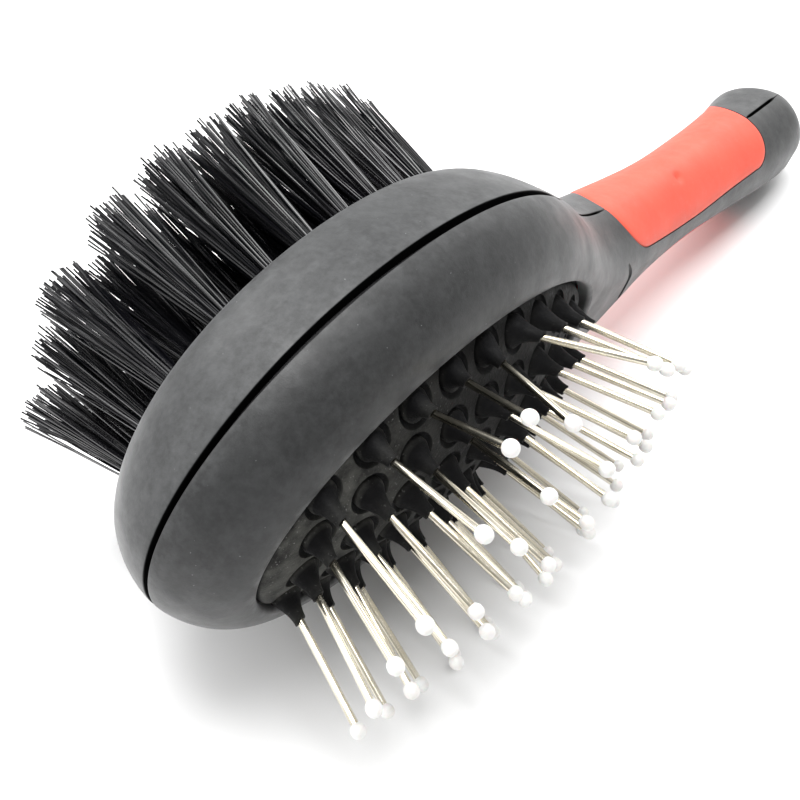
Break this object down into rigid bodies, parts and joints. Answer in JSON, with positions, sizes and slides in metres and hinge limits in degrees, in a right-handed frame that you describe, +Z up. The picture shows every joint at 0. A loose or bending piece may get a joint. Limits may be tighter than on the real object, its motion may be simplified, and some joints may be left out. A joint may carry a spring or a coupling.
{
  "type": "double-sided grooming brush",
  "caption": "Double-sided pet grooming brush: ball-tipped metal pins in a domed rubber cushion, nylon bristle tufts behind, two-shell body with soft grips.",
  "frame": {"origin": "on the surface the brush lies on, under the middle of its bounding box", "axes": "+X towards the tail of the handle, +Z up, -Y the way the pins point, as the brush lies on its side"},
  "size_m": [0.2178, 0.0792, 0.0709],
  "materials": {
    "soft_touch_shell": "matte soft-touch coating",
    "hard_plastic": "satin moulded",
    "grip": "matte soft elastomer",
    "cushion_rubber": "matte",
    "pin_steel": "polished wire with moulded white tips",
    "pin_tips": "moulded white",
    "nylon": "glossy filament"
  },
  "bodies": {
    "brush_body": {"pin_side_shell": "soft_touch_shell", "bristle_side_shell": "soft_touch_shell", "centre_frame": "hard_plastic", "left_grip_insert": "grip", "right_grip_insert": "grip", "pin_cushion": "cushion_rubber", "cushion_clamp_ring": "hard_plastic", "cushion_backing_plate": "hard_plastic", "bristle_plate": "hard_plastic", "bristle_row_1": "nylon", "bristle_row_2": "nylon", "bristle_row_3": "nylon", "bristle_row_4": "nylon", "bristle_row_5": "nylon", "bristle_row_6": "nylon", "bristle_row_7": "nylon", "bristle_row_8": "nylon", "bristle_row_9": "nylon", "bristle_row_10": "nylon"},
    "pin_bed": {"pin_row_1": "pin_steel", "pin_row_2": "pin_steel", "pin_row_3": "pin_steel", "pin_row_4": "pin_steel", "pin_row_5": "pin_steel", "pin_row_6": "pin_steel", "pin_row_7": "pin_steel", "pin_row_8": "pin_steel", "pin_row_9": "pin_steel"}
  },
  "joints": [
    {"name": "cushion_press", "type": "slide", "parent": "brush_body", "child": "pin_bed", "axis": [0.0282, 0.9779, 0.207], "range_m": [0, 0.0022], "stiffness_N_per_m": 4000, "springref_m": -0.0003, "deforming": ["pin_cushion"]}
  ]
}
